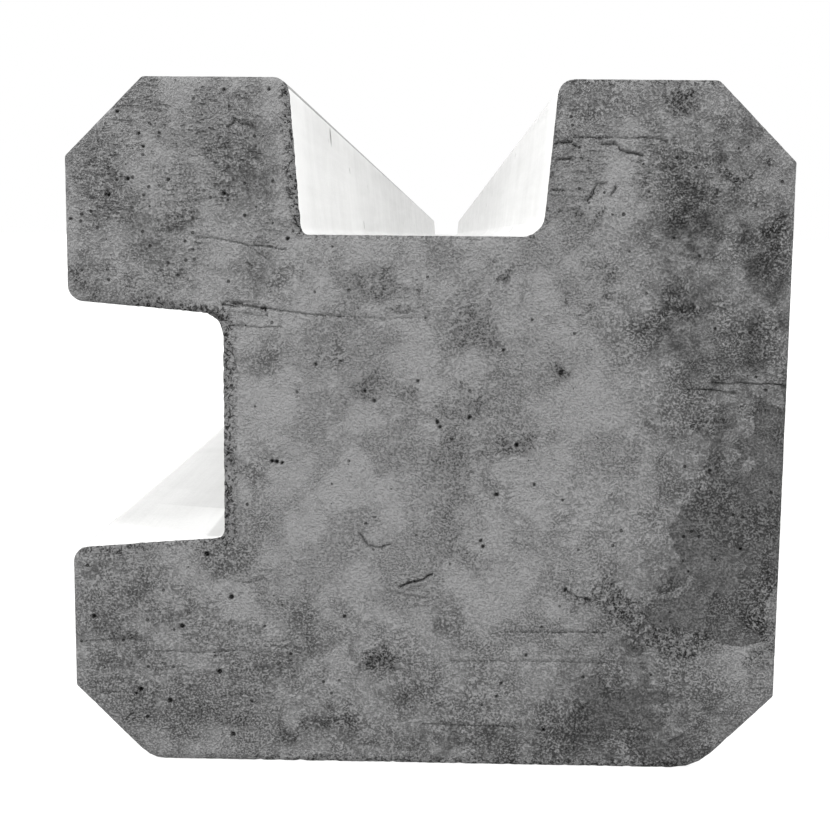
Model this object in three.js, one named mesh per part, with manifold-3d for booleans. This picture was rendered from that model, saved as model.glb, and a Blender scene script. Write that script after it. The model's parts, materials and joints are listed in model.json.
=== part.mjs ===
// Slotted corner fence post of precast reinforced concrete, lying on its plain face.
// Millimetres, +Z up. The post's length runs along Y, and the origin is the middle of its underside.
// The head end faces -Y and the foot end, which is set in the ground, faces +Y.
// One slot opens upwards and one towards -X, so that two fence panels meet at a right angle.
import * as THREE from "three";
import { mergeVertices } from "three/addons/utils/BufferGeometryUtils.js";
import Module from "manifold-3d";

const wasm = await Module();
wasm.setup();

// ---- Driving dimensions ----
const POST_LENGTH = 2400;
const SECTION_WIDTH = 125;
const SECTION_HEIGHT = 121;
const CHAMFER = 13.5;
const EDGE_ROUND = 0.8;

// A slot is wider at its mouth than at its floor, so that the post draws off the mould's rib.
const TOP_SLOT = { middle: -1, mouth: 46, floor: 41.5, depth: 26.5 };
const SIDE_SLOT = { middle: 60.8, mouth: 44, floor: 39.5, depth: 27 };

// Worn rounding of the slot lips and of the corners at the slot floors.
const LIP_ROUND = 2.8;
const SOFT_CORNER_ROUND = 4;
const CRISP_CORNER_ROUND = 1.5;
// The two lower arrises are rounded off where the chamfer meets the underside.
const LEFT_FOOT_ROUND = 6;
const RIGHT_FOOT_ROUND = 10;

// Two welded ladders of reinforcement cross in the section, one along each diagonal.
const BAR_DIAMETER = 6;
const BAR_INSET = 22; // bar centre to the outer faces
const HEAD_COVER = 25; // concrete over the bars at the head end
const RUNG_DIAMETER = 4;
const RUNG_STATIONS = 8;
const FIRST_RUNG = 60; // from each end
const RUNG_STEP_ASIDE = 6; // between the two ladders' rungs, along the post

// Plastic chairs clip on the bars and hold the cage off the mould.
const CHAIR_STATIONS = 3;
const FIRST_CHAIR = 210; // from each end
const CHAIR_THICKNESS = 8;
const CHAIR_FOOT_WIDTH = 10;
const CHAIR_NECK_WIDTH = 5;
const CHAIR_SKIN = 1.5; // concrete between the chair's foot and the face
const CHAIR_WALL = 2; // of the jaws round the bar
const CHAIR_JAW_OPENING = 75; // half angle of the gap between the jaws, degrees

const GAP = 0.3; // left between pieces that touch
const ARC_STEP = 15; // degrees of turn for each facet of a rounded corner
const BAR_SIDES = 12;
const RUNG_SIDES = 8;

const COLOURS = { concrete: 0x9b9b98, steel: 0x6f5848, plastic: 0x3c3f41 };

// ---- Solids ----
function toSolid(geometry) {
  const bare = geometry.clone();
  bare.deleteAttribute("normal");
  bare.deleteAttribute("uv");
  const merged = mergeVertices(bare, 1e-4);
  return new wasm.Manifold(
    new wasm.Mesh({
      numProp: 3,
      vertProperties: merged.attributes.position.array,
      triVerts: new Uint32Array(merged.index.array),
    }),
  );
}

function toGeometry(solid) {
  const mesh = solid.getMesh();
  const geometry = new THREE.BufferGeometry();
  geometry.setAttribute("position", new THREE.BufferAttribute(mesh.vertProperties, 3));
  geometry.setIndex(new THREE.BufferAttribute(mesh.triVerts, 1));
  geometry.computeVertexNormals();
  return geometry;
}

// A shape in the X-Z plane, drawn as x and z, extruded along Y and centred on middleY.
function prismAlongY(shape, length, middleY) {
  const geometry = new THREE.ExtrudeGeometry(shape, { depth: length, bevelEnabled: false });
  geometry.rotateX(Math.PI / 2);
  geometry.translate(0, middleY + length / 2, 0);
  return geometry;
}

// A closed outline through the given corners, each [x, z, radius], with its corners rounded by arcs.
function roundedOutline(corners) {
  const points = [];
  corners.forEach(([x, z, radius], i) => {
    const corner = new THREE.Vector2(x, z);
    const before = new THREE.Vector2(...corners.at(i - 1).slice(0, 2));
    const after = new THREE.Vector2(...corners[(i + 1) % corners.length].slice(0, 2));
    const inward = corner.clone().sub(before).normalize();
    const outward = after.clone().sub(corner).normalize();
    const turn = Math.atan2(inward.cross(outward), inward.dot(outward));
    const tangent = radius * Math.tan(Math.abs(turn) / 2);
    const start = corner.clone().addScaledVector(inward, -tangent);
    const side = new THREE.Vector2(-inward.y, inward.x).multiplyScalar(Math.sign(turn) * radius);
    const centre = start.clone().add(side);
    const steps = Math.max(1, Math.round(THREE.MathUtils.radToDeg(Math.abs(turn)) / ARC_STEP));
    for (let k = 0; k <= steps; k++) {
      points.push(start.clone().rotateAround(centre, (turn * k) / steps));
    }
  });
  return new THREE.Shape(points);
}

// ---- Concrete ----
function sectionOutline() {
  const half = SECTION_WIDTH / 2;
  const top = SECTION_HEIGHT;
  const topFloor = top - TOP_SLOT.depth;
  const sideFloor = -half + SIDE_SLOT.depth;
  return roundedOutline([
    [-half + CHAMFER, 0, LEFT_FOOT_ROUND],
    [half - CHAMFER, 0, RIGHT_FOOT_ROUND],
    [half, CHAMFER, EDGE_ROUND],
    [half, top - CHAMFER, EDGE_ROUND],
    [half - CHAMFER, top, EDGE_ROUND],
    [TOP_SLOT.middle + TOP_SLOT.mouth / 2, top, LIP_ROUND],
    [TOP_SLOT.middle + TOP_SLOT.floor / 2, topFloor, SOFT_CORNER_ROUND],
    [TOP_SLOT.middle - TOP_SLOT.floor / 2, topFloor, CRISP_CORNER_ROUND],
    [TOP_SLOT.middle - TOP_SLOT.mouth / 2, top, LIP_ROUND],
    [-half + CHAMFER, top, EDGE_ROUND],
    [-half, top - CHAMFER, EDGE_ROUND],
    [-half, SIDE_SLOT.middle + SIDE_SLOT.mouth / 2, LIP_ROUND],
    [sideFloor, SIDE_SLOT.middle + SIDE_SLOT.floor / 2, SOFT_CORNER_ROUND],
    [sideFloor, SIDE_SLOT.middle - SIDE_SLOT.floor / 2, CRISP_CORNER_ROUND],
    [-half, SIDE_SLOT.middle - SIDE_SLOT.mouth / 2, LIP_ROUND],
    [-half, CHAMFER, EDGE_ROUND],
  ]);
}

// ---- Reinforcement ----
const BAR_X = SECTION_WIDTH / 2 - BAR_INSET;
const LOW_BAR_Z = BAR_INSET;
const HIGH_BAR_Z = SECTION_HEIGHT - BAR_INSET;

// Each bar with the direction in which its chairs reach for the mould.
const BARS = {
  upper_left: { at: [-BAR_X, HIGH_BAR_Z], chairTowards: [0, 1] },
  upper_right: { at: [BAR_X, HIGH_BAR_Z], chairTowards: [0, 1] },
  lower_right: { at: [BAR_X, LOW_BAR_Z], chairTowards: [1, 0] },
  lower_left: { at: [-BAR_X, LOW_BAR_Z], chairTowards: [-1, 0] },
};
const LADDERS = {
  falling: { from: "upper_left", to: "lower_right", stepAside: -RUNG_STEP_ASIDE / 2 },
  rising: { from: "lower_left", to: "upper_right", stepAside: RUNG_STEP_ASIDE / 2 },
};

function stations(count, fromEnd) {
  const pitch = (POST_LENGTH - 2 * fromEnd) / (count - 1);
  return Array.from({ length: count }, (_, i) => -POST_LENGTH / 2 + fromEnd + i * pitch);
}

// The bars end flush with the foot end. The hollow round a bar runs out through that end.
function barGeometry(bar, clearance) {
  const start = -POST_LENGTH / 2 + HEAD_COVER - clearance;
  const end = POST_LENGTH / 2 + clearance;
  const radius = BAR_DIAMETER / 2 + clearance;
  const geometry = new THREE.CylinderGeometry(radius, radius, end - start, BAR_SIDES);
  geometry.translate(bar.at[0], (start + end) / 2, bar.at[1]);
  return geometry;
}

// A rung is butted between the two bars of its ladder. The hollow round it joins those of the bars.
function rungGeometry(ladder, y, clearance) {
  const [x0, z0] = BARS[ladder.from].at;
  const [x1, z1] = BARS[ladder.to].at;
  const across = new THREE.Vector3(x1 - x0, 0, z1 - z0);
  const span = across.length();
  const length = clearance > 0 ? span : span - BAR_DIAMETER - 2 * GAP;
  const radius = RUNG_DIAMETER / 2 + clearance;
  const geometry = new THREE.CylinderGeometry(radius, radius, length, RUNG_SIDES);
  const turn = new THREE.Quaternion().setFromUnitVectors(
    new THREE.Vector3(0, 1, 0),
    across.normalize(),
  );
  geometry.applyQuaternion(turn);
  geometry.translate((x0 + x1) / 2, y + ladder.stepAside, (z0 + z1) / 2);
  return geometry;
}

// ---- Chairs ----
// Drawn with the bar at the origin and the foot towards +z, then turned to face its side of the mould.
function chairShape() {
  const inner = BAR_DIAMETER / 2 + GAP;
  const outer = inner + CHAIR_WALL;
  const footZ = BAR_INSET - CHAIR_SKIN;
  const opening = THREE.MathUtils.degToRad(CHAIR_JAW_OPENING);
  const neck = Math.asin(CHAIR_NECK_WIDTH / 2 / outer);
  const up = Math.PI / 2;
  const shape = new THREE.Shape();
  shape.moveTo(CHAIR_FOOT_WIDTH / 2, footZ);
  shape.lineTo(-CHAIR_FOOT_WIDTH / 2, footZ);
  shape.absarc(0, 0, outer, up + neck, 3 * up - opening, false);
  shape.absarc(0, 0, inner, 3 * up - opening, -up + opening, true);
  shape.absarc(0, 0, outer, -up + opening, up - neck, false);
  shape.closePath();
  return shape;
}

// The hollow that a chair leaves in the concrete: a plain block round its jaws, leg and foot.
function chairHollowShape() {
  const half = Math.max(CHAIR_FOOT_WIDTH / 2, BAR_DIAMETER / 2 + GAP + CHAIR_WALL) + GAP;
  const top = BAR_INSET - CHAIR_SKIN + GAP;
  const shape = new THREE.Shape();
  shape.moveTo(-half, -half);
  shape.lineTo(half, -half);
  shape.lineTo(half, top);
  shape.lineTo(-half, top);
  shape.closePath();
  return shape;
}

function chairGeometry(bar, y, shape, thickness) {
  const geometry = new THREE.ExtrudeGeometry(shape, {
    depth: thickness,
    bevelEnabled: false,
    curveSegments: 8,
  });
  geometry.rotateX(Math.PI / 2);
  geometry.translate(0, thickness / 2, 0);
  geometry.rotateY(Math.atan2(bar.chairTowards[0], bar.chairTowards[1]));
  geometry.translate(bar.at[0], y, bar.at[1]);
  return geometry;
}

// ---- The post, its cage and its chairs ----
function material(colour, roughness, metalness) {
  return new THREE.MeshStandardMaterial({ color: colour, roughness, metalness });
}
const concrete = material(COLOURS.concrete, 0.92, 0);
const steel = material(COLOURS.steel, 0.65, 0.6);
const plastic = material(COLOURS.plastic, 0.6, 0);

function namedMesh(name, geometry, finish) {
  const mesh = new THREE.Mesh(geometry, finish);
  mesh.name = name;
  return mesh;
}

const post = new THREE.Group();
let body = toSolid(prismAlongY(sectionOutline(), POST_LENGTH, 0));

for (const [place, bar] of Object.entries(BARS)) {
  post.add(namedMesh(`bar_${place}`, barGeometry(bar, 0), steel));
  body = body.subtract(toSolid(barGeometry(bar, GAP)));
}

for (const [way, ladder] of Object.entries(LADDERS)) {
  stations(RUNG_STATIONS, FIRST_RUNG).forEach((y, i) => {
    post.add(namedMesh(`${way}_rung_${i + 1}`, rungGeometry(ladder, y, 0), steel));
    body = body.subtract(toSolid(rungGeometry(ladder, y, GAP)));
  });
}

for (const [place, bar] of Object.entries(BARS)) {
  stations(CHAIR_STATIONS, FIRST_CHAIR).forEach((y, i) => {
    const chair = chairGeometry(bar, y, chairShape(), CHAIR_THICKNESS);
    const hollow = chairGeometry(bar, y, chairHollowShape(), CHAIR_THICKNESS + 2 * GAP);
    post.add(namedMesh(`chair_${place}_${i + 1}`, chair, plastic));
    body = body.subtract(toSolid(hollow));
  });
}

post.add(namedMesh("post_body", toGeometry(body), concrete));

export default post;
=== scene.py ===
"""Looks of a slotted corner fence post of precast reinforced concrete.

The post lies along Y on its plain face, with its head end at -Y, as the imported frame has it.
Metres, +Z up. Sizes written in millimetres are turned into metres with MM.
"""

import json
import math
import random

import bmesh
import bpy
import numpy as np
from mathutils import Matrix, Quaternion, Vector, kdtree, noise

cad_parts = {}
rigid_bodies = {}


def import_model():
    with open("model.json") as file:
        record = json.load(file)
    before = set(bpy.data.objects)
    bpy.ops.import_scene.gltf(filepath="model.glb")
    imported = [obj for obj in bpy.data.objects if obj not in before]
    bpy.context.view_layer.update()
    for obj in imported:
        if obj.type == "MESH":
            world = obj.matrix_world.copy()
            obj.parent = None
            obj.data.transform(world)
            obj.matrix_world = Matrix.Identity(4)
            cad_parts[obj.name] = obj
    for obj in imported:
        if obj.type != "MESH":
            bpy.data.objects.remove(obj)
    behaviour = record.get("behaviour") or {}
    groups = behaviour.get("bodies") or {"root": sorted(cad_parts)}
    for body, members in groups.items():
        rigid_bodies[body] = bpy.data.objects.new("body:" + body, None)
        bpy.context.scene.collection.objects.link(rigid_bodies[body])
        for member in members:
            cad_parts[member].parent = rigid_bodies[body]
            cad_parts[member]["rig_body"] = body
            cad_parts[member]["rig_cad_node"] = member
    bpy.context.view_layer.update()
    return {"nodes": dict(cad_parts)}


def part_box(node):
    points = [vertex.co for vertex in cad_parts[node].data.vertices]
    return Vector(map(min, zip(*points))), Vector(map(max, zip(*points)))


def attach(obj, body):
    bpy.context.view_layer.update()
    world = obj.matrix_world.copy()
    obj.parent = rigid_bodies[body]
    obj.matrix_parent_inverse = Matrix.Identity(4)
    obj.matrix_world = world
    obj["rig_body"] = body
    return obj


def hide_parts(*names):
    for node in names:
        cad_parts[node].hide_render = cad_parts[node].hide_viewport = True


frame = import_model()

bl_info = {
    "name": "Concrete corner fence post",
    "version": (1, 0, 0),
    "blender": (4, 5, 0),
    "location": "View3D > Sidebar > Fence post",
    "description": "Builds a slotted concrete corner fence post with its reinforcement and a plain studio",
    "category": "Add Mesh",
}

MM = 0.001
LOW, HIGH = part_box("post_body")
WIDTH = HIGH.x - LOW.x
HEIGHT = HIGH.z - LOW.z
HEAD_Y = LOW.y
FOOT_Y = HIGH.y
BARS = ["upper_left", "upper_right", "lower_right", "lower_left"]

# Cuts go through points that lie within this of the cutting plane.
CUT_TOLERANCE = 1e-7

# Where the camera stands, in millimetres: right of the head end's middle, in front of it, above the ground.
CAMERA_PLACE = (3.58, 239.33, 94.71)
# How far it looks down, is turned to the left and leans, in degrees.
CAMERA_TURNS = (7.440, 1.306, 0.565)

# The way from the head end to the right-hand lamps. The left-hand ones mirror it in X and are stronger.
LAMP_WAY = (0.62, -0.45, 0.64)
WINDOW_POWER = 2.4
SOFTBOX_POWER = 18.0
SOFTBOX_DISTANCE = 1.2

# The paint map: a strip for the long sides, and above it each end, by its corner and the width it takes.
MAP_MARGIN = 0.004
SIDES_STRIP = 0.222
HEAD_MAP = ((MAP_MARGIN, 0.235), 0.765)
FOOT_MAP = ((0.778, 0.235), 0.215)

# ---- What the concrete's head end shows: places are [x, z] in millimetres on the end face ----

# Air holes and voids: x, z, radius, depth.
AIR_HOLES = [
    (-34.3, 30.3, 0.75, 0.9), (-43.2, 24.8, 0.8, 0.9), (-59.0, 26.4, 0.7, 0.8), (-36.5, 16.5, 0.8, 0.9),
    (-45.5, 11.0, 0.75, 0.8), (-34.2, 4.8, 0.75, 0.8), (-50.8, 13.0, 0.7, 0.7), (-51.6, 12.1, 0.5, 0.6),
    (-49.7, 7.8, 0.6, 0.6), (-30.7, 11.1, 0.5, 0.5), (-28.4, 25.0, 0.5, 0.5), (-37.3, 19.4, 0.5, 0.5),
    (-14.0, 27.0, 0.6, 0.6), (10.0, 41.2, 0.55, 0.8), (10.4, 40.2, 0.55, 0.8), (12.6, 49.5, 0.65, 0.7),
    (15.9, 58.4, 0.65, 0.8), (23.4, 71.1, 0.8, 0.9), (2.0, 62.2, 0.65, 0.7), (2.5, 61.4, 0.6, 0.6),
    (13.4, 75.0, 0.5, 0.5), (19.2, 51.4, 0.5, 0.5), (14.0, 15.3, 0.5, 0.5), (13.2, 12.8, 0.5, 0.5),
    (21.8, 6.8, 0.55, 0.6), (25.0, 32.6, 0.6, 0.6), (18.3, 20.5, 0.5, 0.4), (-26.9, 54.9, 0.6, 0.9),
    (-26.1, 54.8, 0.65, 1.1), (-25.2, 54.6, 0.55, 0.9), (-55.0, 101.0, 0.6, 0.6),
    (-51.6, 103.7, 0.6, 0.6), (-49.6, 111.4, 0.5, 0.5), (-35.0, 101.4, 0.6, 0.6),
    (-44.6, 103.6, 0.5, 0.5), (-34.9, 118.8, 0.5, 0.5), (-27.2, 118.9, 0.5, 0.5), (-24.1, 93.8, 0.6, 0.7),
    (-53.2, 115.0, 0.5, 0.6), (-48.8, 109.2, 0.5, 0.5), (-10.7, 67.6, 0.6, 0.6), (-9.0, 65.8, 0.6, 0.6),
    (-1.4, 69.4, 0.5, 0.5), (-19.3, 72.2, 0.5, 0.5), (7.6, 63.2, 0.6, 0.7), (55.6, 40.4, 0.5, 0.5),
    (-61.6, 96.8, 0.5, 0.5), (-38.6, 38.0, 0.8, 0.8),
]

# Gouges and chipped cracks wide enough to have a floor: width, depth, then the points they run through.
GOUGES = [
    (0.30, 0.50, [(-4.2, 32.5), (-2.2, 33.7), (-0.4, 34.0), (1.4, 35.0)]),
    (0.24, 0.25, [(-11.6, 42.1), (-9.8, 40.1), (-8.0, 39.7), (-6.2, 40.1)]),
    (0.27, 0.35, [(-35.6, 82.4), (-34.2, 82.9), (-32.0, 82.4)]),
    (0.28, 0.40, [(-28.8, 81.8), (-28.0, 82.2), (-27.9, 81.0)]),
    (0.30, 0.40, [(21.8, 110.4), (24.2, 110.5), (25.0, 109.7)]),
    (0.28, 0.40, [(29.6, 110.3), (31.4, 110.5), (32.6, 109.2), (36.4, 108.3)]),
    (0.26, 0.35, [(21.8, 107.7), (24.4, 107.9)]),
    (0.28, 0.30, [(27.4, 100.6), (28.6, 103.4), (30.0, 103.6)]),
    (0.28, 0.30, [(31.2, 101.8), (32.2, 103.2)]),
    (0.24, 0.30, [(-34.2, 112.8), (-33.0, 113.8), (-31.8, 113.0), (-30.0, 112.8)]),
    (0.20, 0.18, [(25.2, 32.4), (27.0, 31.3), (29.4, 30.8)]),
]

# Ridges of laitance that stand a little proud: width, height, points. Their tops are painted paler, as a
# highlight.
RIDGES = [
    (0.40, 0.35, [(36.4, 23.0), (38.4, 24.8), (40.0, 26.2)]),
    (0.34, 0.3, [(37.0, 22.6), (38.0, 23.4)]),
    (0.34, 0.3, [(-6.2, 19.6), (-4.6, 18.2), (-0.8, 17.2)]),
    (0.34, 0.3, [(-6.4, 32.6), (-3.4, 31.7), (0.4, 31.2)]),
    (0.34, 0.3, [(-4.0, 32.0), (-2.0, 33.1), (-0.2, 33.4)]),
    (0.40, 0.3, [(-35.0, 81.7), (-31.0, 81.3), (-28.6, 80.9)]),
    (0.38, 0.3, [(40.0, 14.5), (43.2, 14.6)]),
    (0.38, 0.3, [(43.6, 1.7), (45.2, 1.6)]),
    (0.36, 0.3, [(44.0, 5.4), (46.0, 6.5), (48.6, 8.4)]),
]

# Fine scores and scratches, too thin to have a floor: width, depth, points. Those with a positive depth are
# painted darker, as shade in them; those with a negative depth stand proud and are painted paler, as a
# highlight.
SCORES = [
    (0.16, 0.22, [(-40.0, 93.8), (-35.2, 93.5), (-31.0, 92.6), (-24.4, 91.9)]),
    (0.14, 0.15, [(-31.2, 92.5), (-27.6, 90.2)]),
    (0.16, 0.18, [(-34.2, 78.9), (-29.4, 78.3), (-25.2, 78.5)]),
    (0.15, 0.22, [(-35.4, 82.2), (-31.0, 82.1), (-28.2, 81.8), (-20.5, 80.8), (-15.0, 80.5)]),
    (0.14, 0.14, [(-15.0, 80.5), (-8.0, 80.2), (0.5, 80.4)]),
    (0.18, 0.24, [(24.6, 111.3), (35.6, 111.2)]),
    (0.16, 0.2, [(35.6, 111.4), (40.4, 110.9)]),
    (0.16, 0.24, [(45.0, 68.6), (53.4, 68.2)]),
    (0.16, 0.24, [(49.6, 69.8), (62.3, 69.5)]),
    (0.13, 0.2, [(14.2, 24.6), (32.5, 24.9)]),
    (0.12, 0.15, [(5.0, 19.3), (40.0, 19.4)]),
    (0.12, -0.12, [(15.0, 43.2), (35.4, 43.5)]),
    (0.14, 0.2, [(0.0, 7.5), (16.4, 7.2)]),
    (0.12, 0.12, [(27.2, 3.0), (27.3, 9.2)]),
    (0.13, 0.16, [(-34.2, 33.2), (-31.6, 33.0), (-28.4, 33.8)]),
    (0.14, 0.14, [(-30.2, 34.9), (-27.6, 35.3), (-25.8, 35.1)]),
    (0.13, 0.16, [(-36.4, 25.5), (-33.0, 25.8), (-29.8, 26.1)]),
    (0.12, 0.16, [(-48.0, 20.1), (-38.0, 20.0), (-33.4, 20.5)]),
    (0.12, 0.12, [(-31.0, 22.0), (-23.0, 22.4)]),
    (0.13, 0.16, [(-36.2, 11.8), (-33.6, 12.3), (-29.6, 12.0)]),
    (0.14, 0.16, [(-57.8, 12.4), (-53.6, 12.4)]),
    (0.14, 0.14, [(-60.6, 21.8), (-55.0, 22.4), (-50.0, 22.3)]),
    (0.13, -0.14, [(17.8, 45.4), (20.6, 48.1)]),
    (0.14, -0.16, [(51.0, 48.1), (53.2, 50.0)]),
    (0.14, -0.16, [(52.0, 50.5), (55.0, 50.6)]),
    (0.14, -0.16, [(57.0, 50.4), (59.4, 52.0)]),
    (0.13, 0.18, [(21.0, 102.3), (24.8, 102.3)]),
    (0.16, 0.2, [(-31.0, 89.7), (-30.2, 88.8)]),
    (0.14, 0.16, [(16.4, 67.2), (18.4, 66.0)]),
    (0.13, 0.14, [(23.6, 79.9), (25.4, 78.6)]),
    (0.12, 0.14, [(35.4, 7.2), (40.0, 7.0)]),
    (0.12, 0.14, [(57.6, 14.9), (61.0, 15.1)]),
]

# Patches where the surface is torn or pebbled: x, z, half width, half height, strength.
TORN_PATCHES = [
    (43.5, 117.4, 3.4, 2.6, 1.0), (57.6, 107.0, 3.0, 2.6, 1.0), (52.0, 103.4, 3.0, 2.4, 1.0),
    (46.4, 103.2, 2.2, 1.8, 0.8), (30.7, 96.0, 1.5, 3.4, 1.0), (60.4, 96.4, 1.6, 2.2, 0.8),
    (23.4, 97.8, 2.8, 2.4, 0.8), (29.4, 102.4, 2.6, 3.6, 0.5), (29.4, 88.2, 4.2, 3.2, 0.6),
    (42.4, 82.0, 3.2, 2.6, 0.7), (13.6, 89.2, 2.0, 1.2, 0.9), (27.8, 83.2, 2.6, 1.4, 0.7),
    (-8.0, 67.6, 4.8, 4.4, 0.7), (7.0, 64.4, 4.2, 4.6, 0.7), (16.0, 58.4, 3.2, 3.2, 0.7),
    (22.0, 71.0, 3.6, 2.2, 0.9), (-6.4, 85.4, 8.5, 3.0, 0.6), (8.0, 78.0, 5.0, 5.4, 0.6),
    (-53.0, 24.0, 2.6, 1.4, 0.7), (44.4, 22.8, 6.4, 3.2, 0.9), (36.6, 28.4, 6.4, 5.2, 0.9),
    (31.0, 31.0, 5.4, 3.2, 0.7), (59.0, 26.0, 3.6, 11.0, 0.7), (-7.6, 18.8, 3.8, 3.8, 0.9),
    (-18.0, 6.6, 6.4, 3.4, 0.5), (-53.0, 7.4, 3.4, 3.2, 0.6), (-34.6, 8.2, 4.4, 3.2, 0.6),
    (-59.2, 86.8, 4.0, 3.2, 0.6), (55.4, 64.0, 2.4, 2.2, 0.7), (48.4, 62.4, 2.4, 2.4, 0.6),
    (-3.0, 80.6, 8.0, 1.4, 0.6), (5.0, 44.0, 4.6, 9.0, 0.3), (5.6, 56.0, 5.0, 8.0, 0.4),
]

# Broad marks of tone: x, z, half width, half height, tilt in degrees, darkening (paler below 0).
TONES = [
    (-57.0, 103.0, 6.0, 7.0, 0, 0.14), (-32.0, 105.0, 8.5, 10.0, 0, 0.17),
    (-46.5, 92.5, 7.5, 8.5, 0, 0.20), (-29.0, 88.0, 8.5, 6.0, 20, 0.18), (-58.0, 95.0, 5.0, 7.0, 0, 0.08),
    (-38.0, 88.6, 2.2, 7.0, -42, -0.12), (-42.0, 106.0, 3.6, 12.0, 8, -0.10),
    (-30.0, 118.0, 6.0, 3.0, 0, 0.10), (-28.5, 73.0, 6.5, 4.4, 25, 0.20),
    (-15.6, 74.4, 2.2, 5.4, -10, 0.17), (-30.4, 49.0, 3.2, 15.0, 0, 0.15),
    (-52.0, 33.4, 4.8, 4.4, 0, 0.18), (-35.0, 37.0, 8.5, 4.2, -10, 0.16),
    (-55.0, 22.0, 9.0, 8.0, 0, 0.10), (-44.0, 27.0, 6.0, 2.4, 12, 0.12), (-21.6, 24.0, 3.0, 7.5, 0, 0.22),
    (-26.4, 17.6, 7.0, 3.8, 18, 0.18), (-13.0, 20.4, 1.6, 3.2, 0, 0.24), (-7.4, 18.6, 3.8, 4.2, 0, 0.12),
    (-2.8, 11.0, 3.2, 5.0, -15, 0.20), (5.0, 23.0, 3.8, 4.8, 0, 0.16), (-18.0, 6.0, 7.5, 5.5, 0, 0.18),
    (-45.0, 8.0, 12.0, 6.0, 0, 0.10), (11.0, 4.0, 26.0, 4.4, 0, 0.14), (27.0, 117.4, 9.0, 4.6, 0, 0.24),
    (40.0, 106.0, 8.0, 6.5, 0, 0.13), (50.4, 108.4, 3.6, 4.0, 0, 0.26), (44.0, 97.0, 9.5, 8.0, 0, 0.24),
    (58.0, 92.0, 6.0, 11.0, 0, 0.24), (42.0, 82.0, 7.5, 9.0, 0, 0.20), (57.0, 78.0, 6.0, 6.5, 0, 0.20),
    (14.0, 89.0, 5.0, 3.4, 0, 0.14), (30.0, 83.0, 6.0, 3.0, 0, 0.12), (48.0, 72.0, 8.0, 9.0, 0, 0.12),
    (54.0, 113.0, 4.5, 4.0, -40, 0.14), (31.0, 104.0, 7.5, 8.5, 0, -0.04),
    (-20.0, 56.0, 10.0, 40.0, 0, -0.04), (20.0, 42.0, 12.0, 12.0, 0, -0.04),
    (26.0, 94.0, 9.0, 8.0, 0, -0.05), (53.0, 10.0, 10.0, 10.0, 0, 0.15), (36.0, 27.0, 9.0, 9.0, 0, 0.10),
    (-24.0, 63.0, 8.0, 12.0, 0, -0.04), (61.0, 18.0, 5.0, 10.0, 0, 0.12),
    (41.0, 38.0, 10.0, 6.5, 0, 0.20), (30.0, 47.0, 10.0, 14.0, 0, 0.09), (27.0, 93.0, 8.0, 6.0, 0, 0.12),
    (-34.0, 86.0, 6.0, 5.0, 0, 0.10), (-29.0, 106.0, 5.0, 14.0, 0, 0.10),
    (-12.0, 70.0, 7.0, 6.0, 0, -0.10), (30.0, 33.0, 9.0, 6.0, 0, 0.10),
    (-44.0, 110.0, 6.0, 6.0, 0, -0.06), (51.0, 92.0, 2.6, 9.0, 10, -0.06),
    (17.0, 14.0, 8.0, 8.0, 0, -0.05), (-60.0, 36.0, 5.0, 3.0, 0, 0.12),
]

# The damp stain low on the right, with a crisp edge: x, z, half width, half height, tilt.
STAIN = [
    (59.5, 56.0, 12.5, 19.0, 0), (57.5, 42.0, 13.0, 12.0, 0), (48.5, 41.0, 8.5, 8.5, 15),
    (54.0, 30.0, 9.0, 8.5, 0), (47.0, 28.5, 8.0, 5.5, 20),
]
# Damp that fades out softly below and left of the stain, and dry gaps in both, in the same form.
SOFT_STAIN = [
    (35.0, 11.0, 17.0, 13.0, 15), (43.0, 3.5, 14.0, 9.0, 0), (37.0, 23.5, 7.0, 4.5, 0),
    (27.5, 7.0, 7.0, 7.0, 0),
]
STAIN_GAPS = [
    (54.3, 60.0, 2.7, 12.0, 4), (57.5, 71.0, 4.0, 6.5, 0), (62.0, 20.0, 8.0, 20.0, 0),
    (46.0, 16.5, 5.0, 3.0, 25),
]

# Where the arris is crumbled: from x, z to x, z, width of the band, strength.
CRUMBLED_EDGES = [
    (-35.5, 41.5, -35.5, 79.0, 2.6, 1.0), (-23.8, 118.6, -21.8, 95.6, 2.0, 1.0),
    (-50.0, 82.0, -36.0, 80.6, 1.5, 0.9), (-61.8, 38.8, -50.0, 39.6, 1.8, 0.5),
    (-50.0, 39.6, -36.6, 41.0, 1.2, 0.4), (-20.5, 94.5, 18.0, 94.5, 0.9, 0.3),
    (-30.0, 0.0, 46.0, 0.0, 1.4, 0.55), (21.8, 118.0, 20.2, 97.0, 0.9, 0.3),
    (17.5, 95.0, 19.8, 98.0, 1.6, 0.6), (24.0, 120.8, 48.0, 120.8, 1.0, 0.4),
]

# Broad differences of tone from one side of the end face to the other, in the same form as TONES.
REGIONS = [
    (-46.0, 100.0, 30.0, 30.0, 0, 0.07), (-52.0, 18.0, 32.0, 32.0, 0, 0.14),
    (52.0, 88.0, 28.0, 60.0, 0, 0.23), (5.0, 4.0, 75.0, 18.0, 0, 0.17), (0.0, 20.0, 48.0, 14.0, 0, 0.10),
    (36.0, 14.0, 26.0, 26.0, 0, 0.20), (52.0, 44.0, 22.0, 34.0, 0, 0.14),
    (12.0, 60.0, 24.0, 44.0, 0, 0.04),
]


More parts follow.
